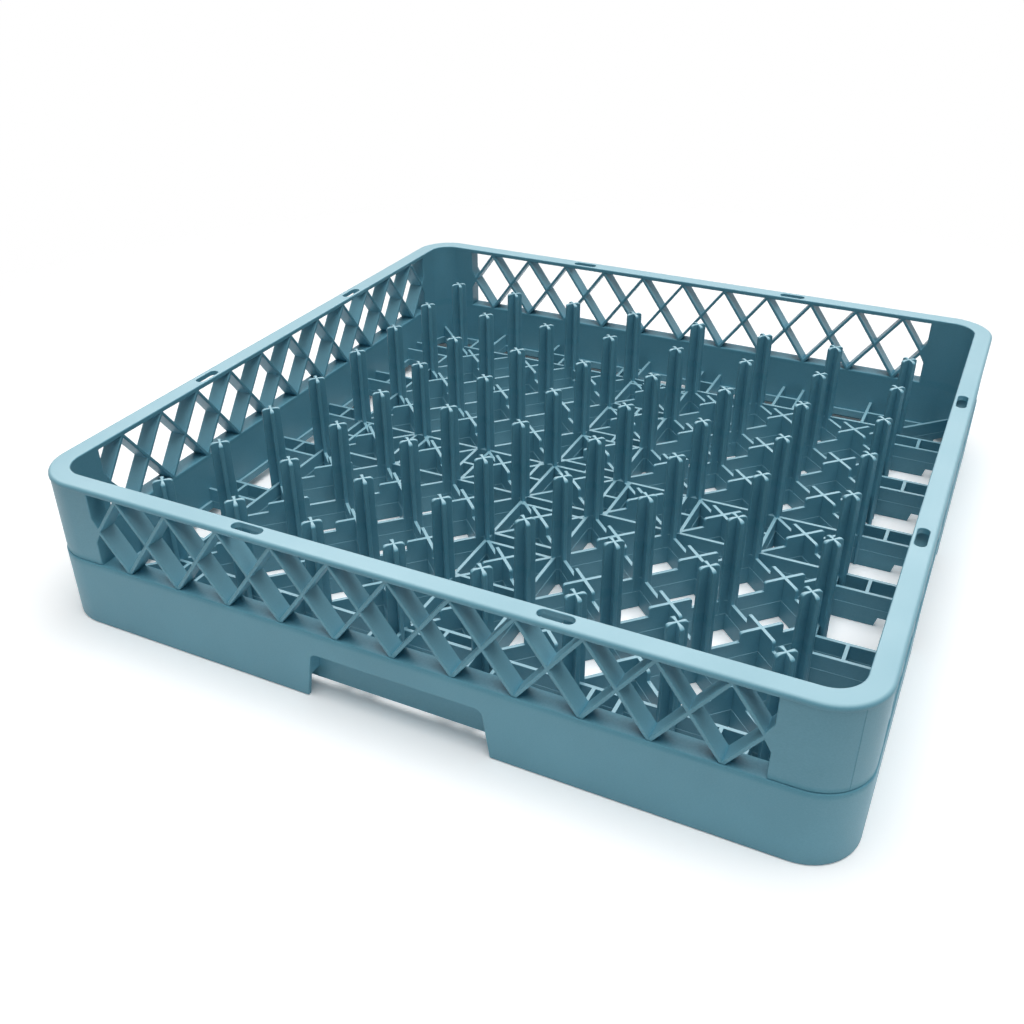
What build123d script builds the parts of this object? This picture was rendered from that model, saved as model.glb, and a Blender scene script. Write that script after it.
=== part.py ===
"""Open plate rack for a commercial dishwasher: one moulding with a peg floor and lattice walls."""
import os
from math import atan2, degrees, hypot, sqrt

from build123d import *

# Overall form, in millimetres: Z is up from the surface that the rack stands on
rack_width = 500.0
rack_height = 101.0
corner_radius = 30.0
wall_depth = 13.0
skin_thickness = 2.6

# Rim: a flat flange on top of the walls, with two clip slots on each side
rim_thickness = 3.4
rim_round = 1.6
clip_slot_length = 20.0
clip_slot_width = 6.5
clip_slot_offset = 92.5
clip_slot_inset = 7.7

# Upper walls: a row of diamonds between hollow corner posts, set back a little under the rim
upper_set_back = 0.6
sill_height = 47.5
lattice_pitch = 36.5
lattice_diamonds = 11
blade_thickness = 2.2
window_width = 408.0
gusset_height = 17.0
gusset_reach = 5.0

# Lower walls: an outer and an inner skin under the sill, open below, the inner one thicker at its foot
inner_skin_foot = 6.5
foot_ledge_height = 12.4
foot_ledge_reach = 2.0

# Hand hold in the foot of each wall, a pocket between the two skins whose side walls stop above the foot
hand_hold_foot_width = 117.2
hand_hold_top_width = 107.6
hand_hold_height = 31.5
hand_hold_radius = 4.0
hand_hold_wall_foot = 15.5

# Pegs: upright crosses on a square grid, their arms on the diagonals
peg_count = 8
peg_pitch = 56.1
peg_height = 82.0
peg_foot_span = 14.0
peg_top_span = 12.8
peg_tip_chamfer = 1.4

# Floor: diagonal ribs from peg to peg, raised to a cross in the middle of each cell
rib_thickness = 2.1
rib_height = 22.3
cross_height = 29.0
cross_length = 29.0
cross_shoulder_drop = 1.4
cross_shoulder_run = 1.2

# Floor: box frames along the middle row and column, with a link across each gap between two frames
frame_reach = 24.85
frame_count = 3
frame_pitch = 54.0
frame_gap = 10.75

# Floor: pairs of bars from the outer pegs to the walls, with a link between the bars of a pair
bar_pairs = ((frame_reach, 40.5), (97.3, 113.9), (169.9, 186.3))
bar_link_distance = 216.5

# Sizes that follow
inner_width = rack_width - 2 * wall_depth
inner_radius = corner_radius - wall_depth
upper_width = rack_width - 2 * upper_set_back
upper_radius = corner_radius - upper_set_back
rim_bottom = rack_height - rim_thickness
window_height = rim_bottom - sill_height
window_middle = sill_height + window_height / 2
cavity_width = inner_width + 2 * skin_thickness
cavity_radius = inner_radius + skin_thickness
ledge_width = inner_width - 2 * foot_ledge_reach
ledge_radius = inner_radius - foot_ledge_reach
peg_reach = (peg_count - 1) * peg_pitch / 2
rib_end = inner_width / 2 + skin_thickness / 2
frame_length = frame_pitch - frame_gap
frame_starts = [frame_reach + frame_gap + step * frame_pitch for step in range(frame_count)]
side_planes = [
    Plane(origin=(0, 0, 0), x_dir=(-y, x, 0), z_dir=(x, y, 0))
    for x, y in ((1, 0), (0, 1), (-1, 0), (0, -1))
]


def diagonal_planes(step):
    """Upright planes along the peg rows that lie step pitches off the rack's two diagonals."""
    shift = step * peg_pitch / 2
    rising = Plane(origin=(-shift, shift, 0), x_dir=(1, 1, 0), z_dir=(1, -1, 0))
    falling = Plane(origin=(shift, shift, 0), x_dir=(1, -1, 0), z_dir=(-1, -1, 0))
    return [rising, falling]


def peg_outline(middle):
    """Tapered outline of one peg above the ribs, from its left foot to its right foot."""
    tip = peg_height - peg_tip_chamfer
    lean = (peg_foot_span - peg_top_span) / 2
    foot = peg_foot_span / 2 - lean * rib_height / tip
    top = peg_top_span / 2
    right = [(top - peg_tip_chamfer, peg_height), (top, tip), (foot, rib_height)]
    left = [(-x, z) for x, z in reversed(right)]
    return [(middle + x, z) for x, z in left + right]


def cross_outline(middle):
    """Outline of a raised cross above the ribs in the middle of a cell."""
    foot = cross_length / 2
    top = foot - cross_shoulder_run
    shoulder = cross_height - cross_shoulder_drop
    right = [(top, cross_height), (foot, shoulder), (foot, rib_height)]
    left = [(-x, z) for x, z in reversed(right)]
    return [(middle + x, z) for x, z in left + right]


def diagonal_outline(cells):
    """Outline of the upright plate along one diagonal row: pegs at the cell ends, a cross in each cell."""
    cell_length = peg_pitch * sqrt(2)
    start = -cells * cell_length / 2
    points = peg_outline(start)
    for cell in range(cells):
        points += cross_outline(start + (cell + 0.5) * cell_length)
        points += peg_outline(start + (cell + 1) * cell_length)
    end = -start + peg_foot_span / 2
    return [(-end, 0)] + points[1:-1] + [(end, 0)]


def hand_hold_outline(margin, start):
    """Outline of a hand hold from a start height up, grown by a margin at its sides and top."""
    foot = hand_hold_foot_width / 2 + margin
    top = hand_hold_top_width / 2 + margin
    height = hand_hold_height + margin
    reach = foot - (foot - top) * start / height
    return [(-reach, start), (-top, height), (top, height), (reach, start)]


with BuildPart() as plate_rack:
    # Rim with its clip slots, rounded along the outer edge
    with BuildSketch(Plane.XY.offset(rim_bottom)):
        RectangleRounded(rack_width, rack_width, corner_radius)
        RectangleRounded(inner_width, inner_width, inner_radius, mode=Mode.SUBTRACT)
        with PolarLocations(rack_width / 2 - clip_slot_inset, 4):
            with Locations((0, clip_slot_offset), (0, -clip_slot_offset)):
                SlotOverall(clip_slot_length, clip_slot_width, rotation=90, mode=Mode.SUBTRACT)
    extrude(amount=rim_thickness)
    fillet(plate_rack.faces().sort_by(Axis.Z)[-1].outer_wire().edges(), rim_round)

    # Upper walls, then the lattice windows cut straight through facing walls
    with BuildSketch(Plane.XY.offset(sill_height)):
        RectangleRounded(upper_width, upper_width, upper_radius)
        RectangleRounded(inner_width, inner_width, inner_radius, mode=Mode.SUBTRACT)
    extrude(amount=window_height)
    blade_slope = degrees(atan2(window_height, lattice_pitch))
    blade_length = 2 * hypot(window_height, lattice_pitch)
    with BuildSketch(*side_planes[:2]):
        with Locations((0, window_middle)):
            Rectangle(window_width, window_height)
            with GridLocations(lattice_pitch, 1, lattice_diamonds + 1, 1):
                Rectangle(blade_length, blade_thickness, rotation=blade_slope, mode=Mode.SUBTRACT)
                Rectangle(blade_length, blade_thickness, rotation=-blade_slope, mode=Mode.SUBTRACT)
            for side in (-1, 1):
                post = side * window_width / 2
                point = post - side * gusset_reach
                gusset = [(post, gusset_height / 2), (point, 0), (post, -gusset_height / 2)]
                Polygon(*gusset, align=None, mode=Mode.SUBTRACT)
    extrude(amount=rack_width, both=True, mode=Mode.SUBTRACT)

    # Lower walls: outer skin, sill, inner skin and the ledge at its foot
    with BuildSketch():
        RectangleRounded(rack_width, rack_width, corner_radius)
        RectangleRounded(inner_width, inner_width, inner_radius, mode=Mode.SUBTRACT)
    extrude(amount=sill_height)
    with BuildSketch():
        outer_cavity = rack_width - 2 * skin_thickness
        RectangleRounded(outer_cavity, outer_cavity, corner_radius - skin_thickness)
        RectangleRounded(cavity_width, cavity_width, cavity_radius, mode=Mode.SUBTRACT)
    extrude(amount=sill_height - skin_thickness, mode=Mode.SUBTRACT)
    with BuildSketch():
        RectangleRounded(inner_width, inner_width, inner_radius)
        RectangleRounded(ledge_width, ledge_width, ledge_radius, mode=Mode.SUBTRACT)
    extrude(amount=foot_ledge_height)

    # Corner posts, hollow from below up to the rim
    with BuildSketch():
        post_cavity = upper_width - 2 * skin_thickness
        post_edge = window_width / 2 + skin_thickness
        RectangleRounded(post_cavity, post_cavity, upper_radius - skin_thickness)
        RectangleRounded(cavity_width, cavity_width, cavity_radius, mode=Mode.SUBTRACT)
        Rectangle(rack_width, 2 * post_edge, mode=Mode.SUBTRACT)
        Rectangle(2 * post_edge, rack_width, mode=Mode.SUBTRACT)
    extrude(amount=rim_bottom, mode=Mode.SUBTRACT)

    # Hand holds: a walled pocket in each side, open outwards and below
    for margin, start, mode in ((skin_thickness, hand_hold_wall_foot, Mode.ADD), (0, 0, Mode.SUBTRACT)):
        with BuildSketch(*[plane.offset(cavity_width / 2) for plane in side_planes]) as pocket:
            with BuildLine():
                Polyline(*hand_hold_outline(margin, start), close=True)
            make_face()
            fillet(pocket.vertices().group_by(Axis.Y)[-1], hand_hold_radius + margin)
        extrude(amount=wall_depth - skin_thickness, mode=mode)

    # Straight floor ribs: long ribs, frame ends, links, outer ribs, bars and corner ties
    with BuildSketch():
        with PolarLocations(frame_reach, 4):
            Rectangle(rib_thickness, 2 * rib_end)
        for start in frame_starts:
            for end in (start, start + frame_length):
                with PolarLocations(end, 4):
                    Rectangle(rib_thickness, 2 * frame_reach)
            with PolarLocations(start - frame_gap / 2, 4):
                Rectangle(frame_gap, rib_thickness)
        last_end = frame_starts[-1] + frame_length
        with PolarLocations((last_end + peg_reach) / 2, 4):
            Rectangle(peg_reach - last_end, rib_thickness)
        with PolarLocations(peg_reach, 4):
            Rectangle(rib_thickness, 2 * peg_reach)
        for near, far in bar_pairs:
            with PolarLocations((peg_reach + rib_end) / 2, 4):
                with Locations((0, near), (0, far), (0, -near), (0, -far)):
                    Rectangle(rib_end - peg_reach, rib_thickness)
            with PolarLocations(bar_link_distance, 4):
                with Locations((0, (near + far) / 2), (0, -(near + far) / 2)):
                    Rectangle(rib_thickness, far - near)
        corner_start = peg_reach * sqrt(2)
        corner_end = (inner_width / 2 - inner_radius) * sqrt(2) + cavity_radius
        with PolarLocations((corner_start + corner_end) / 2, 4, start_angle=45):
            Rectangle(corner_end - corner_start, rib_thickness)
    extrude(amount=rib_height)

    # The inner skin, and the ribs where they run into it, stop short of the ground
    with BuildSketch():
        RectangleRounded(cavity_width, cavity_width, cavity_radius)
        RectangleRounded(ledge_width, ledge_width, ledge_radius, mode=Mode.SUBTRACT)
    extrude(amount=inner_skin_foot, mode=Mode.SUBTRACT)

    # Diagonal ribs with their pegs and crosses
    for step in range(peg_count):
        with BuildSketch(*[plane for shift in {-step, step} for plane in diagonal_planes(shift)]):
            with BuildLine():
                Polyline(*diagonal_outline(peg_count - 1 - step), close=True)
            make_face()
        extrude(amount=rib_thickness / 2, both=True)

plate_rack.part.label = "plate_rack"
os.makedirs("parts", exist_ok=True)
export_step(plate_rack.part, "parts/plate_rack.step")
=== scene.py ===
import math

import bmesh
import bpy
from mathutils import Euler, Matrix, Vector


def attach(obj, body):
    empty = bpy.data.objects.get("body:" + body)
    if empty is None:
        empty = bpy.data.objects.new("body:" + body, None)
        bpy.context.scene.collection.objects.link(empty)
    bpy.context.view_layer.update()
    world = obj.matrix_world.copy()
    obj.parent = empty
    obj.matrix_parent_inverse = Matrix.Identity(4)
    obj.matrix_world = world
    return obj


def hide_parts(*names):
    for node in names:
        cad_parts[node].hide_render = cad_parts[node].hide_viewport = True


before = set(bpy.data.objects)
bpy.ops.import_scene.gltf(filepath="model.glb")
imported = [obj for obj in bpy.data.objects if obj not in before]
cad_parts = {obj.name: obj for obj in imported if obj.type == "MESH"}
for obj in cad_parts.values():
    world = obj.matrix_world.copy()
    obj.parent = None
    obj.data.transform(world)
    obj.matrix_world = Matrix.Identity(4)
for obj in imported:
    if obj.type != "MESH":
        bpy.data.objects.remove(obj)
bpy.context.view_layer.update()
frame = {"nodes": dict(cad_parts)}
scene = bpy.context.scene
mm = 0.001
print("frame loaded:", ", ".join(frame["nodes"]))

# sizes of the rack are in millimetres, angles in degrees
body = {"width": 500.0, "height": 101.0, "cornerRadius": 30.0, "cornerSteps": 14, "wallDepth": 13.0,
        "skin": 2.6, "sill": 47.5, "rimThickness": 3.4, "roundSteps": 3, "thinSteps": 2,
        "cutPast": 2.0, "cutBelow": 1.0}  # how far cutters reach past the faces that they open
frontFace = -body["width"] / 2
cornerMiddle = body["width"] / 2 - body["cornerRadius"]  # centre of a corner's arc
rimFoot = body["height"] - body["rimThickness"]
spares = []  # shapes that only feed the node trees, removed at the end


# outlines and stacked shapes

def intersect(a, b, c, d):
    # where the line through a and b meets the line through c and d
    r, s = b - a, d - c
    return a + r * ((c - a).cross(s) / r.cross(s))


def growOutline(points, grow):
    # moves each side of a counter-clockwise outline outwards
    points = [Vector(p) for p in points]
    sides = []
    for i, start in enumerate(points):
        end = points[(i + 1) % len(points)]
        along = (end - start).normalized()
        shift = Vector((along.y, -along.x)) * grow
        sides.append((start + shift, end + shift))
    return [intersect(*sides[i - 1], *sides[i]) for i in range(len(sides))]


def roundCorners(points, radii, steps):
    points = [Vector(p) for p in points]
    outline = []
    for i, radius in enumerate(radii):
        here = points[i]
        if radius < 1e-6:
            outline.append(here)
            continue
        back = (points[i - 1] - here).normalized()
        ahead = (points[(i + 1) % len(points)] - here).normalized()
        half = back.angle(ahead) / 2
        centre = here + (back + ahead).normalized() * (radius / math.sin(half))
        start = here + back * (radius / math.tan(half)) - centre
        end = here + ahead * (radius / math.tan(half)) - centre
        first = math.atan2(start.y, start.x)
        sweep = (math.atan2(end.y, end.x) - first + math.pi) % (2 * math.pi) - math.pi
        for step in range(steps + 1):
            angle = first + sweep * step / steps
            outline.append(centre + Vector((math.cos(angle), math.sin(angle))) * radius)
    return outline


def softOutline(points, radii, steps, grow):
    # inner corners tighten where outer corners open up
    points = [Vector(p) for p in points]
    grown = growOutline(points, grow)
    soft = []
    for i, radius in enumerate(radii):
        turn = (points[i] - points[i - 1]).cross(points[(i + 1) % len(points)] - points[i])
        soft.append(max(radius + math.copysign(grow, turn), 0) if radius else 0)
    return roundCorners(grown, soft, steps)


def flare(face, inward, radius, steps):
    # levels and growths of a rounded mouth, from the face inwards
    levels = []
    for step in range(steps + 1):
        angle = math.pi / 2 * step / steps
        levels.append((face + inward * radius * (1 - math.cos(angle)), radius * (1 - math.sin(angle))))
    return levels


def finishMesh(name, verts, faces):
    mesh = bpy.data.meshes.new(name)
    mesh.from_pydata([Vector(v) * mm for v in verts], [], faces)
    bm = bmesh.new()
    bm.from_mesh(mesh)
    bmesh.ops.recalc_face_normals(bm, faces=bm.faces)
    bm.to_mesh(mesh)
    bm.free()
    return mesh


def spare(name, mesh):
    obj = bpy.data.objects.new(name, mesh)
    scene.collection.objects.link(obj)
    spares.append(obj)
    return obj


def stackShape(name, sections, place):
    # sections are (level, outline); place puts an outline point at its level
    verts, faces = [], []
    count = len(sections[0][1])
    for level, outline in sections:
        verts += [place(p, level) for p in outline]
    for row in range(len(sections) - 1):
        for i in range(count):
            a, b = row * count + i, row * count + (i + 1) % count
            faces.append((a, b, b + count, a + count))
    faces.append(tuple(range(count)))
    faces.append(tuple(range((len(sections) - 1) * count, len(sections) * count)))
    return spare(name, finishMesh(name, verts, faces))


# sweeps round the rack, profiles are (depth from the outer face, height)

def cornerStations(quarter):
    # centre of the arc and direction at each step round one corner
    turn = math.radians(45 + 90 * quarter)
    cx, cy = math.copysign(cornerMiddle, math.cos(turn)), math.copysign(cornerMiddle, math.sin(turn))
    steps = body["cornerSteps"]
    return [(cx, cy, math.radians(90 * (quarter + step / steps))) for step in range(steps + 1)]


def sweepShape(name, stations, profile, closed):
    verts, faces = [], []
    count = len(profile)
    for cx, cy, angle in stations:
        for depth, height in profile:
            reach = body["cornerRadius"] - depth
            verts.append((cx + reach * math.cos(angle), cy + reach * math.sin(angle), height))
    runs = len(stations) if closed else len(stations) - 1
    for run in range(runs):
        near, far = run * count, (run + 1) % len(stations) * count
        for i in range(count):
            j = (i + 1) % count
            faces.append((near + i, near + j, far + j, far + i))
    if not closed:
        faces += [tuple(range(count)), tuple(range((len(stations) - 1) * count, len(stations) * count))]
    return spare(name, finishMesh(name, verts, faces))


fullRound = [station for quarter in range(4) for station in cornerStations(quarter)]


# node tree helpers

def addNode(tree, kind, inputs=None, **settings):
    node = tree.nodes.new(kind)
    for key, setting in settings.items():
        setattr(node, key, setting)
    for key, feed in (inputs or {}).items():
        for one in feed if isinstance(feed, list) else [feed]:
            if isinstance(one, bpy.types.NodeSocket):
                tree.links.new(one, node.inputs[key])
            else:
                node.inputs[key].default_value = one
    return node


class TreeMaker:
    def __init__(self, name):
        self.tree = bpy.data.node_groups.new(name, "GeometryNodeTree")
        self.tree.interface.new_socket("Geometry", in_out="OUTPUT", socket_type="NodeSocketGeometry")
        self.values = {}
        self.source = self.tree.nodes.new("NodeGroupInput")
        self.sink = self.tree.nodes.new("NodeGroupOutput")

    def value(self, name, kind, value):
        socket = self.tree.interface.new_socket(name, in_out="INPUT", socket_type="NodeSocket" + kind)
        self.values[socket.identifier] = value
        return self.source.outputs[name]

    def node(self, kind, inputs=None, **settings):
        return addNode(self.tree, kind, inputs, **settings)

    def math(self, operation, a, b):
        return self.node("ShaderNodeMath", {0: a, 1: b}, operation=operation).outputs[0]

    def vector(self, parts):
        return self.node("ShaderNodeCombineXYZ", parts).outputs[0]

    def shape(self, name, obj):
        feed = {"Object": self.value(name, "Object", obj)}
        return self.node("GeometryNodeObjectInfo", feed).outputs["Geometry"]

    def turned(self, geometry, degrees):
        turn = {"Geometry": geometry, "Rotation": (0, 0, math.radians(degrees))}
        return self.node("GeometryNodeTransform", turn).outputs["Geometry"]

    def placed(self, points, shape, degrees=0):
        feed = {"Points": points, "Instance": shape, "Rotation": (0, 0, math.radians(degrees))}
        return self.node("GeometryNodeInstanceOnPoints", feed).outputs["Instances"]

    def boolean(self, operation, feed):
        join = self.node("GeometryNodeMeshBoolean", feed, operation=operation, solver="MANIFOLD")
        return join.outputs["Mesh"]

    def union(self, shapes):
        return self.boolean("UNION", {"Mesh 2": shapes})

    def cut(self, shape, cutters):
        return self.boolean("DIFFERENCE", {"Mesh 1": shape, "Mesh 2": cutters})

    def result(self, geometry, name):
        # evaluates the tree on an empty object and keeps the plain mesh
        self.tree.links.new(geometry, self.sink.inputs[0])
        obj = bpy.data.objects.new(name, bpy.data.meshes.new(name))
        scene.collection.objects.link(obj)
        maker = obj.modifiers.new("maker", "NODES")
        maker.node_group = self.tree
        for identifier, value in self.values.items():
            maker[identifier] = value
        graph = bpy.context.evaluated_depsgraph_get()
        made = bpy.data.meshes.new_from_object(obj.evaluated_get(graph))
        made.name = name
        obj.modifiers.clear()
        obj.data = made
        print(f"{name}: {len(made.vertices)} points, {len(made.polygons)} faces")
        return obj


# lattice walls: a band with a row of diamonds cut through each side

lattice = {"setBack": 0.6, "pitch": 36.5, "diamonds": 11, "blade": 2.3, "edge": 0.75, "window": 408.0,
           "gussetHeight": 17.0, "gussetReach": 5.0, "overlap": 0.8,
           "grooveDepth": 0.45, "grooveHeight": 0.6, "grooveSlope": 0.25}


def latticeWalls():
    s = lattice
    sill, outer, deep = body["sill"], s["setBack"], body["wallDepth"]
    high, low = rimFoot + s["overlap"], sill - s["overlap"]
    groove, grooveTop = outer + s["grooveDepth"], sill + s["grooveHeight"]
    band = [(outer, grooveTop + s["grooveSlope"]), (outer, high), (deep, high), (deep, low),
            (groove, low), (groove, grooveTop)]
    wall = sweepShape("upperBand", fullRound, band, True)

    rise = rimFoot - sill
    slope, half, step = rise / s["pitch"], rise / 2, s["pitch"] / 2
    inset = s["blade"] / 2 * math.hypot(1, slope)
    tall, wide = half - inset, step - inset / slope
    crossing = step * s["diamonds"]
    postEdge = s["window"] / 2 - crossing
    past = half + s["overlap"] * 2

    diamond = [(-wide, 0), (0, -tall), (wide, 0), (0, tall)]
    spread = (past - inset) / slope
    triangle = [(0, inset), (spread, past), (-spread, past)]
    # the last cell stops at the post, and a gusset fills its foot
    lean = Vector((postEdge - s["gussetReach"], 0)), Vector((postEdge, s["gussetHeight"] / 2))
    foot = intersect(Vector((0, inset)), Vector((-spread, past)), *lean)
    lastCell = [foot, lean[1], (postEdge, past), (-spread, past)]

    levels = [(outer - body["cutPast"], s["edge"])] + flare(outer, 1, s["edge"], body["roundSteps"])
    levels += reversed(flare(deep, -1, s["edge"], body["roundSteps"]))
    levels.append((deep + body["cutPast"], s["edge"]))

    def cutter(name, points):
        sections = [(level, growOutline(points, grow)) for level, grow in levels]
        return stackShape(name, sections, lambda p, level: (p.x, level, p.y))

    def flipped(points, across, up):
        swapped = [(across * x, up * y) for x, y in points]
        return swapped if across * up > 0 else list(reversed(swapped))

    maker = TreeMaker("latticeTree")
    pitch = maker.value("Pitch", "Float", s["pitch"] * mm)
    count = maker.value("Diamonds", "Int", s["diamonds"])
    front, middle = frontFace * mm, (sill + half) * mm

    def row(number):
        # points along the front wall, centred
        length = maker.math("MULTIPLY", maker.math("SUBTRACT", number, 1.0), pitch)
        start = maker.vector({"X": maker.math("MULTIPLY", length, -0.5), "Y": front, "Z": middle})
        line = {"Count": number, "Start Location": start, "Offset": maker.vector({"X": pitch})}
        return maker.node("GeometryNodeMeshLine", line).outputs[0]

    cells = [maker.placed(row(count), maker.shape("Diamond", cutter("diamondCutter", diamond)))]
    between = row(maker.math("SUBTRACT", count, 1.0))
    for up, label in ((1, "Upper"), (-1, "Lower")):
        shape = maker.shape(label + " Cell", cutter(label.lower() + "Cutter", flipped(triangle, 1, up)))
        cells.append(maker.placed(between, shape))
        for across, side in ((1, "Right"), (-1, "Left")):
            end = cutter(label.lower() + side + "Cutter", flipped(lastCell, across, up))
            end.data.transform(Matrix.Translation((across * crossing * mm, front, middle)))
            cells.append(maker.shape(f"{label} {side} End", end))
    cutters = [maker.turned(cell, 90 * side) for cell in cells for side in range(4)]
    return maker.result(maker.cut(maker.shape("Band", wall), cutters), "latticeWalls")


walls = latticeWalls()
spares.append(walls)


# rim with clip slots, hollow lower walls with hand holds, hollow corner posts

rim = {"outerRound": 2.0, "innerRound": 0.9, "outerFootRound": 0.6, "innerFootRound": 0.4, "steps": 4,
       "slotLength": 20.0, "slotWidth": 6.5, "slotOffset": 92.5, "slotInset": 7.7, "slotEdge": 0.5,
       "slotFlat": 0.02, "slotSteps": 8}
lower = {"topRound": 0.9, "footRound": 0.8, "innerFoot": 6.5, "ledgeHeight": 12.4, "ledgeReach": 2.0,
         "ledgeRound": 0.4, "ledgeFootRound": 0.6, "skinRound": 0.4}
handHold = {"footWidth": 117.2, "topWidth": 107.6, "height": 31.5, "radius": 4.0, "steps": 5,
            "mouth": 0.9, "wallFoot": 15.5, "wallSink": 1.2, "below": 3.0}
partLine = {"width": 0.7, "height": 0.28, "crest": 0.24, "root": 0.6, "foot": 0.02, "start": 1.2, "past": 0.4}


def rimRing():
    s, top, deep = rim, body["height"], body["wallDepth"]
    corners = [(0, rimFoot), (0, top), (deep, top), (deep, rimFoot)]
    radii = [s["outerFootRound"], s["outerRound"], s["innerRound"], s["innerFootRound"]]
    return sweepShape("rimRing", fullRound, roundCorners(corners, radii, s["steps"]), True)


def slotCutter():
    s, top = rim, body["height"]
    long, wide = s["slotLength"] / 2, s["slotWidth"] / 2
    corners = [(-long, -wide), (long, -wide), (long, wide), (-long, wide)]
    radii = [wide - s["slotFlat"] / 2] * 4  # the round ends keep a tiny flat between their corners
    levels = [(top + body["cutPast"], s["slotEdge"])] + flare(top, -1, s["slotEdge"], body["roundSteps"])
    levels.append((rimFoot - body["cutBelow"], 0))
    sections = [(level, softOutline(corners, radii, s["slotSteps"], grow)) for level, grow in levels]
    y = frontFace + s["slotInset"]
    return stackShape("slotCutter", sections, lambda p, level: (p.x, p.y + y, level))


def lowerRing():
    s, skin, deep, high = lower, body["skin"], body["wallDepth"], body["sill"]
    ledge, inner, roof = deep + s["ledgeReach"], deep - skin, high - skin
    points = [(0, 0), (0, high), (deep, high), (deep, s["ledgeHeight"]), (ledge, s["ledgeHeight"]),
              (ledge, s["innerFoot"]), (inner, s["innerFoot"]), (inner, roof), (skin, roof), (skin, 0)]
    radii = [s["footRound"], s["topRound"], s["topRound"], 0, s["ledgeRound"],
             s["ledgeFootRound"], s["skinRound"], 0, 0, s["skinRound"]]
    return sweepShape("lowerRing", fullRound, roundCorners(points, radii, body["roundSteps"]), True)


def handHoldShape(name, margin, start, levels):
    s = handHold
    foot, top, high = s["footWidth"] / 2 + margin, s["topWidth"] / 2 + margin, s["height"] + margin
    reach = foot - (foot - top) * start / high
    corners = [(-reach, start), (reach, start), (top, high), (-top, high)]
    radii = [0, 0, s["radius"] + margin, s["radius"] + margin]
    sections = [(level, softOutline(corners, radii, s["steps"], grow)) for level, grow in levels]
    return stackShape(name, sections, lambda p, level: (p.x, frontFace + level, p.y))


def postCavity():
    skin, low = body["skin"], -body["cutBelow"]
    near, far = lattice["setBack"] + skin, body["wallDepth"] - skin
    start = lattice["window"] / 2 + skin
    stations = [(cornerMiddle, start, 0.0)] + cornerStations(0) + [(start, cornerMiddle, math.pi / 2)]
    profile = [(near, low), (near, rimFoot), (far, rimFoot), (far, low)]
    return sweepShape("postCavity", stations, profile, False)


def partingLine():
    # fine flash line where the mould's slides meet, on the middle of a corner post
    s = partLine
    reach = cornerMiddle * math.sqrt(2) + body["cornerRadius"] - lattice["setBack"]
    root, foot, crest = reach - s["root"], reach + s["foot"], reach + s["height"]
    wide, fine = s["width"] / 2, s["crest"] / 2
    outline = [(root, -wide), (foot, -wide), (crest, -fine), (crest, fine), (foot, wide), (root, wide)]
    turn = Matrix.Rotation(math.radians(45), 2)
    outline = [turn @ Vector(p) for p in outline]
    sections = [(level, outline) for level in (body["sill"] + s["start"], rimFoot + s["past"])]
    return stackShape("partingLine", sections, lambda p, level: (p.x, p.y, level))


def hollowWalls():
    s = handHold
    maker = TreeMaker("wallTree")
    inner = body["wallDepth"] - body["skin"]
    mouth = [(-body["cutPast"], s["mouth"])] + flare(0, 1, s["mouth"], body["roundSteps"]) + [(inner, 0)]
    depths = [(s["wallSink"], 0), (inner + s["wallSink"], 0)]
    surround = handHoldShape("handHoldSurround", body["skin"], s["wallFoot"], depths)
    pocket = handHoldShape("handHoldPocket", 0, -s["below"], mouth)
    rings = {"Lattice Walls": walls, "Rim": rimRing(), "Lower Ring": lowerRing()}
    shapes = [maker.shape(name, ring) for name, ring in rings.items()]
    block = maker.shape("Hand Hold Surround", surround)
    line = maker.shape("Parting Line", partingLine())
    shapes += [maker.turned(shape, 90 * side) for shape in (block, line) for side in range(4)]
    offset = rim["slotOffset"] * mm
    pair = {"Count": 2, "Start Location": (-offset, 0, 0), "Offset": (2 * offset, 0, 0)}
    pair = maker.node("GeometryNodeMeshLine", pair).outputs[0]
    slots = maker.placed(pair, maker.shape("Clip Slot", slotCutter()))
    hole, cavity = maker.shape("Hand Hold", pocket), maker.shape("Post Cavity", postCavity())
    cutters = [maker.turned(shape, 90 * side) for shape in (slots, hole, cavity) for side in range(4)]
    return maker.result(maker.cut(maker.union(shapes), cutters), "hollowWalls")


shell = hollowWalls()
spares.append(shell)


# floor: ribs, crosses and pegs

peg = {"count": 8, "pitch": 56.1, "height": 82.0, "footSpan": 14.0, "topSpan": 12.8, "thickness": 3.0,
       "core": 1.5, "endRound": 0.7, "endRoundShare": 0.9, "domeRun": 2.6, "domeDrop": 1.9,
       "domeSteps": 4, "edge": 0.8}
rib = {"top": 2.4, "foot": 2.9, "height": 22.3, "ledge": 12.4, "ledgeSlope": 0.4, "edge": 0.35,
       "wallStart": 2.0, "wallReach": 26.0, "wallLean": 2.0}  # where the ribs stop short of the ground
cross = {"length": 29.0, "height": 29.0, "shoulder": 1.8, "steps": 4, "thickness": 2.4, "edge": 0.35,
         "sink": 3.0}
layout = {"frameReach": 24.85, "frameCount": 3, "framePitch": 54.0, "frameGap": 10.75,
          "barPairs": ((24.85, 40.5), (97.3, 113.9), (169.9, 186.3)), "barLink": 216.5}


def plusOutline(span, thin):
    # the arms are thicker at their ends than at the core
    s = peg
    far, half, root = span / 2, (s["thickness"] - thin) / 2, (s["core"] - thin / 2) / 2
    points, radii = [], []
    for quarter in range(4):
        turn = Matrix.Rotation(math.radians(90 * quarter), 2)
        points += [turn @ Vector(p) for p in ((far, -half), (far, half), (root, root))]
        radii += [min(s["endRound"], half * s["endRoundShare"])] * 2 + [0]
    return roundCorners(points, radii, body["roundSteps"])


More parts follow.
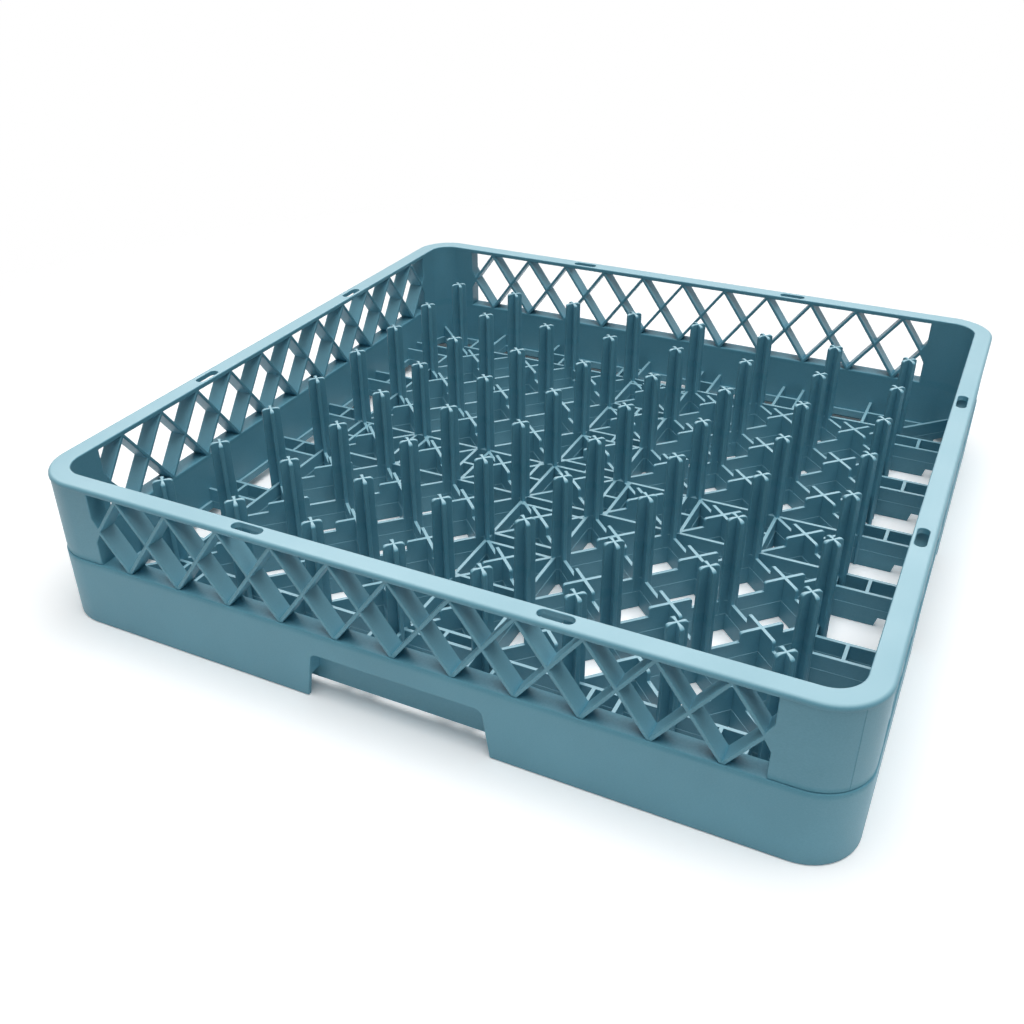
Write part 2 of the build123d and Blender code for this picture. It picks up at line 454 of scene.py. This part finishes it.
def pegColumn():
    # tapered upright cross, domed at the tip
    s = peg
    sections = [(0, plusOutline(s["footSpan"], 0))]
    for step in range(s["domeSteps"] + 1):
        angle = math.pi / 2 * step / s["domeSteps"]
        down = s["domeDrop"] * (1 - math.sin(angle))
        span = s["topSpan"] - 2 * s["domeRun"] * (1 - math.cos(angle))
        inward = max(1 - down / s["edge"], 0)
        thin = 2 * s["edge"] * (1 - math.sqrt(1 - inward ** 2))
        sections.append((s["height"] - down, plusOutline(span, thin)))
    return stackShape("pegColumn", sections, lambda p, level: (p.x, p.y, level))


def crossPlate():
    # upright plate along X with rounded edges
    s = cross
    foot, high, low = s["length"] / 2, s["height"], rib["height"] - s["sink"]
    points = [(-foot, low), (foot, low), (foot, high), (-foot, high)]
    radii = [0, 0, s["shoulder"], s["shoulder"]]
    near = [(level, -grow) for level, grow in flare(-s["thickness"] / 2, 1, s["edge"], body["thinSteps"])]
    levels = near + [(-level, grow) for level, grow in reversed(near)]
    sections = [(level, softOutline(points, radii, s["steps"], grow)) for level, grow in levels]
    return stackShape("crossPlate", sections, lambda p, level: (p.x, level, p.y))


def ribBar():
    # one metre long, so that its place's length stretches it
    s = rib
    top, foot, half = s["top"] / 2, s["foot"] / 2, 0.5 / mm
    low = s["ledge"] - (foot - top) * s["ledgeSlope"]
    points = [(-foot, 0), (foot, 0), (foot, low), (top, s["ledge"]), (top, s["height"]),
              (-top, s["height"]), (-top, s["ledge"]), (-foot, low)]
    outline = roundCorners(points, [0, 0, 0, 0, s["edge"], s["edge"], 0, 0], body["thinSteps"])
    return stackShape("ribBar", [(-half, outline), (half, outline)], lambda p, level: (level, p.x, p.y))


def ribPlaces():
    # each rib is its middle, direction and length
    s, places = layout, []
    count, pitch = peg["count"], peg["pitch"]
    reach = (count - 1) * pitch / 2
    skinMiddle = body["wallDepth"] - body["skin"] / 2
    wall = body["width"] / 2 - skinMiddle

    def allRound(distance, aside, turn, length):
        for quarter in range(4):
            spin = Matrix.Rotation(math.radians(90 * quarter), 2)
            x, y = spin @ Vector((distance, aside))
            places.append((x, y, 90 * quarter + turn, length))

    for step in range(2 - count, count - 1):
        shift, length = step * pitch / 2, (count - 1 - abs(step)) * pitch * math.sqrt(2)
        places.append((-shift, shift, 45, length))
        places.append((shift, shift, -45, length))
    allRound(s["frameReach"], 0, 90, 2 * wall)
    end = s["frameReach"]
    for step in range(s["frameCount"]):
        start = end + s["frameGap"]
        allRound((end + start) / 2, 0, 0, s["frameGap"])
        end = start + s["framePitch"] - s["frameGap"]
        for distance in (start, end):
            allRound(distance, 0, 90, 2 * s["frameReach"])
    allRound((end + reach) / 2, 0, 0, reach - end)
    allRound(reach, 0, 90, 2 * reach)
    for near, far in s["barPairs"]:
        for side in (-1, 1):
            for aside in (near, far):
                if aside != s["frameReach"]:  # the frame's own long ribs run on to the wall
                    allRound((reach + wall) / 2, side * aside, 0, wall - reach)
            allRound(s["barLink"], side * (near + far) / 2, 90, far - near)
    corner = cornerMiddle * math.sqrt(2) + body["cornerRadius"] - skinMiddle
    tie = (reach + corner / math.sqrt(2)) / 2
    allRound(tie, tie, 45, corner - reach * math.sqrt(2))

    mesh = bpy.data.meshes.new("ribPlaces")
    mesh.from_pydata([(x * mm, y * mm, 0) for x, y, turn, length in places], [], [])
    stored = {"turn": [math.radians(p[2]) for p in places], "length": [p[3] * mm for p in places]}
    for name, values in stored.items():
        mesh.attributes.new(name, "FLOAT", "POINT").data.foreach_set("value", values)
    return spare("ribPlaces", mesh)


def footCutter():
    s, low, foot = rib, -body["cutBelow"], lower["innerFoot"]
    start, reach = s["wallStart"], s["wallReach"]
    profile = [(start, low), (start, foot), (reach - s["wallLean"], foot), (reach, low)]
    return sweepShape("footCutter", fullRound, profile, True)


def pegFloor():
    maker = TreeMaker("floorTree")
    count = maker.value("Peg Count", "Int", peg["count"])
    pitch = maker.value("Peg Pitch", "Float", peg["pitch"] * mm)

    def grid(number):
        size = maker.math("MULTIPLY", maker.math("SUBTRACT", number, 1.0), pitch)
        feed = {"Size X": size, "Size Y": size, "Vertices X": number, "Vertices Y": number}
        return maker.node("GeometryNodeMeshGrid", feed).outputs["Mesh"]

    def attribute(name):
        node = maker.node("GeometryNodeInputNamedAttribute", {"Name": name}, data_type="FLOAT")
        return node.outputs["Attribute"]

    pegPoints, crossPoints = grid(count), grid(maker.math("SUBTRACT", count, 1.0))
    crossShape = maker.shape("Cross", crossPlate())
    shapes = [maker.placed(pegPoints, maker.shape("Peg", pegColumn()), 45)]
    shapes += [maker.placed(crossPoints, crossShape, turn) for turn in (45, -45)]
    places = {"Points": maker.shape("Rib Places", ribPlaces()), "Instance": maker.shape("Rib", ribBar()),
              "Rotation": maker.vector({"Z": attribute("turn")}),
              "Scale": maker.vector({"X": attribute("length"), "Y": 1.0, "Z": 1.0})}
    shapes.append(maker.node("GeometryNodeInstanceOnPoints", places).outputs["Instances"])
    clear = maker.shape("Foot Cutter", footCutter())
    return maker.result(maker.cut(maker.union(shapes), clear), "pegFloor")


floorGrid = pegFloor()
spares.append(floorGrid)


# satin polypropylene, grained on the outer faces; depths are in metres,
# a noise is its scale per metre and its detail

# the paler colour for upward faces is a painted sheen, not wear
look = {"base": (0.126, 0.352, 0.454), "pale": (0.154, 0.396, 0.502), "paintedSheen": (0.245, 0.468, 0.553),
        "cloud": (22.0, 3.0), "speck": (900.0, 2.0), "paleRange": (0.75, 1.25), "paintedSheenTilt": (0.45, 0.95),
        "roughCloud": (0.3, 0.7), "roughRange": (0.37, 0.47),
        "sillBand": (0.002, 0.004), "glossRange": (0.1, 0.42),
        "outerBand": (-0.0016, -0.0009), "drawnOut": 2.4, "grain": (1250.0, 2.0), "grainDepth": 0.0001,
        "wave": (34.0, 1.0), "waveDepth": 0.0006, "waveStrength": 0.5}


class ShadeMaker:
    def __init__(self, tree):
        self.tree = tree

    def node(self, kind, inputs=None, **settings):
        return addNode(self.tree, kind, inputs, **settings)

    def math(self, operation, *values):
        return self.node("ShaderNodeMath", dict(enumerate(values)), operation=operation).outputs[0]

    def vector(self, operation, *vectors):
        return self.node("ShaderNodeVectorMath", dict(enumerate(vectors)), operation=operation).outputs[0]

    def length(self, vector):
        return self.node("ShaderNodeVectorMath", {0: vector}, operation="LENGTH").outputs["Value"]

    def split(self, vector):
        return self.node("ShaderNodeSeparateXYZ", {0: vector}).outputs

    def ramp(self, value, start, end, low=0.0, high=1.0, **settings):
        feed = {"Value": value, "From Min": start, "From Max": end, "To Min": low, "To Max": high}
        return self.node("ShaderNodeMapRange", feed, **settings).outputs[0]

    def noise(self, place, scale, detail):
        feed = {"Vector": place, "Scale": scale, "Detail": detail}
        return self.node("ShaderNodeTexNoise", feed).outputs["Fac"]

    def mix(self, factor, a, b):
        feed = {"Factor": factor, "A": a, "B": b}
        return self.node("ShaderNodeMix", feed, data_type="RGBA").outputs["Result"]


def plasticMaterial():
    s = look
    material = bpy.data.materials.new("satinPlastic")
    material.use_nodes = True
    maker = ShadeMaker(material.node_tree)
    coordinates = maker.node("ShaderNodeTexCoord").outputs
    place = coordinates["Object"]

    # one on the outer faces, nought inside, at any height
    inward = (cornerMiddle * mm, cornerMiddle * mm, 1.0)
    away = maker.vector("SUBTRACT", maker.vector("ABSOLUTE", place), inward)
    away = maker.length(maker.vector("MAXIMUM", away, (0, 0, 0)))
    outside = maker.ramp(away, *[body["cornerRadius"] * mm + depth for depth in s["outerBand"]])

    drawn = maker.node("ShaderNodeMapping", {"Vector": place, "Scale": (1, 1, s["drawnOut"])}).outputs[0]
    cloud = maker.noise(place, *s["cloud"])
    speck = maker.noise(drawn, *s["speck"])
    tone = maker.ramp(maker.math("ADD", cloud, speck), *s["paleRange"])
    colour = maker.mix(tone, (*s["base"], 1), (*s["pale"], 1))

    # painted sheen: faces turned upward are painted paler, a highlight as if lit from above; the sill, in the
    # rim's shade, is left out
    upward = maker.ramp(maker.split(coordinates["Normal"])["Z"], *s["paintedSheenTilt"])
    sill = maker.math("SUBTRACT", maker.split(place)["Z"], body["sill"] * mm)
    offSill = maker.ramp(maker.math("ABSOLUTE", sill), *s["sillBand"])
    colour = maker.mix(maker.math("MULTIPLY", upward, offSill), colour, (*s["paintedSheen"], 1))
    gloss = maker.ramp(offSill, 0.0, 1.0, *s["glossRange"])
    rough = maker.ramp(cloud, *s["roughCloud"], *s["roughRange"])

    # slight moulding waves everywhere, fine grain drawn out sideways on the outer faces
    wave = maker.noise(place, *s["wave"])
    grain = maker.math("MULTIPLY", maker.noise(drawn, *s["grain"]), outside)
    waves = {"Height": wave, "Distance": s["waveDepth"], "Strength": s["waveStrength"]}
    waves = maker.node("ShaderNodeBump", waves).outputs[0]
    relief = {"Height": grain, "Distance": s["grainDepth"], "Normal": waves}
    relief = maker.node("ShaderNodeBump", relief).outputs[0]

    surface = material.node_tree.nodes["Principled BSDF"]
    feeds = {"Base Color": colour, "Specular IOR Level": gloss, "Roughness": rough, "Normal": relief}
    for name, feed in feeds.items():
        material.node_tree.links.new(feed, surface.inputs[name])
    return material


plastic = plasticMaterial()
print("plastic material made")


# the whole moulding in one piece

moulding = {"sharpAngle": 38.0}


def wholeRack():
    maker = TreeMaker("mouldingTree")
    whole = maker.union([maker.shape("Walls", shell), maker.shape("Floor", floorGrid)])
    whole = maker.node("GeometryNodeRealizeInstances", {"Geometry": whole}).outputs[0]
    feed = {"Geometry": whole, "Material": maker.value("Material", "Material", plastic)}
    rack = maker.result(maker.node("GeometryNodeSetMaterial", feed).outputs[0], "plateRackMoulding")
    rack.data.shade_smooth()
    rack.data.set_sharp_from_angle(angle=math.radians(moulding["sharpAngle"]))
    flat = rack.modifiers.new("flatFaces", "WEIGHTED_NORMAL")
    flat.keep_sharp = True
    graph = bpy.context.evaluated_depsgraph_get()
    made = bpy.data.meshes.new_from_object(rack.evaluated_get(graph))
    rack.modifiers.clear()
    rack.data = made
    return rack


rack = wholeRack()
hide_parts("plate_rack")
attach(rack, "root")
for obj in spares:
    bpy.data.objects.remove(obj)


# studio, in metres: white floor that fades into a white surround, soft light from above

studio = {"floorRadius": 1.1, "floorSides": 64, "floorDrop": 0.0003, "fadeStart": 0.42, "fadeEnd": 0.85,
          "floorShade": 0.95, "underShade": 0.28, "underStart": 0.22, "underEnd": 0.26,
          "floorSeen": 1.15, "floorGlow": 0.06, "surround": 0.08, "aim": (0, 0, 0.05),
          "topSize": (3.0, 3.0), "topPlace": (0.3, -0.16, 3.0), "topPower": 107.0,
          "sheenSize": (2.6, 1.1), "sheenPlace": (-0.62, 1.28, 1.5), "sheenPower": 46.0}


def seenRays(maker):
    # one for rays from the camera, in reflections and through clear things
    rays = maker.node("ShaderNodeLightPath").outputs
    seen = maker.math("MAXIMUM", rays["Is Camera Ray"], rays["Is Glossy Ray"])
    return maker.math("MAXIMUM", seen, rays["Is Transmission Ray"])


def studioFloor():
    s = studio
    bpy.ops.mesh.primitive_circle_add(vertices=s["floorSides"], radius=s["floorRadius"],
                                      fill_type="NGON", location=(0, 0, -s["floorDrop"]))
    floor = bpy.context.object
    floor.name = "studioFloor"
    material = bpy.data.materials.new("studioWhite")
    material.use_nodes = True
    material.node_tree.nodes.clear()
    maker = ShadeMaker(material.node_tree)
    place = maker.node("ShaderNodeTexCoord").outputs["Object"]
    fade = maker.ramp(maker.length(place), s["fadeStart"], s["fadeEnd"], interpolation_type="SMOOTHSTEP")
    # the floor throws less light back up under the rack than beside it
    aside = maker.split(maker.vector("ABSOLUTE", place))
    square = maker.math("MAXIMUM", aside["X"], aside["Y"])
    under = maker.ramp(square, s["underStart"], s["underEnd"], s["underShade"], s["floorShade"])
    tone = maker.ramp(seenRays(maker), 0.0, 1.0, under, s["floorSeen"])
    white = maker.node("ShaderNodeBsdfDiffuse", {"Color": tone}).outputs[0]
    glow = maker.node("ShaderNodeEmission", {"Strength": s["floorGlow"]}).outputs[0]  # lit from below
    white = maker.node("ShaderNodeAddShader", {0: white, 1: glow}).outputs[0]
    clear = maker.node("ShaderNodeBsdfTransparent").outputs[0]
    mix = maker.node("ShaderNodeMixShader", {0: fade, 1: white, 2: clear}).outputs[0]
    maker.node("ShaderNodeOutputMaterial", {"Surface": mix})
    floor.data.materials.append(material)


def studioWorld():
    # white to the camera and in reflections, dimmer as a light
    world = bpy.data.worlds.new("studioWorld")
    world.use_nodes = True
    maker = ShadeMaker(world.node_tree)
    strength = maker.ramp(seenRays(maker), 0.0, 1.0, studio["surround"], 1.0)
    background = world.node_tree.nodes["Background"]
    background.inputs["Color"].default_value = (1, 1, 1, 1)
    world.node_tree.links.new(strength, background.inputs["Strength"])
    scene.world = world


def softbox(name, place, size, power):
    data = bpy.data.lights.new(name, "AREA")
    data.shape = "RECTANGLE"
    data.size, data.size_y = size
    data.energy = power
    light = bpy.data.objects.new(name, data)
    scene.collection.objects.link(light)
    light.location = place
    light.rotation_euler = (Vector(studio["aim"]) - Vector(place)).to_track_quat("-Z", "Y").to_euler()
    return light


studioFloor()
studioWorld()
softbox("topLight", studio["topPlace"], studio["topSize"], studio["topPower"])
sheen = softbox("sheenLight", studio["sheenPlace"], studio["sheenSize"], studio["sheenPower"])
sheen.visible_diffuse = False  # from behind, only a gleam on the upper edges


# camera at the photo's viewpoint

photoView = {"place": (0.25707, -0.63014, 0.41950), "turn": (58.3866, 0.1519, 25.7696),
             "lens": 38.1, "sensor": 36.0, "clipStart": 0.01}


def photoCamera():
    s = photoView
    data = bpy.data.cameras.new("photoCamera")
    data.lens, data.sensor_width, data.clip_start = s["lens"], s["sensor"], s["clipStart"]
    camera = bpy.data.objects.new("photoCamera", data)
    scene.collection.objects.link(camera)
    turn = Euler([math.radians(angle) for angle in s["turn"]])
    camera.matrix_world = Matrix.LocRotScale(Vector(s["place"]), turn, None)
    scene.camera = camera


photoCamera()
scene.view_settings.view_transform = "Standard"
print("studio and camera set")
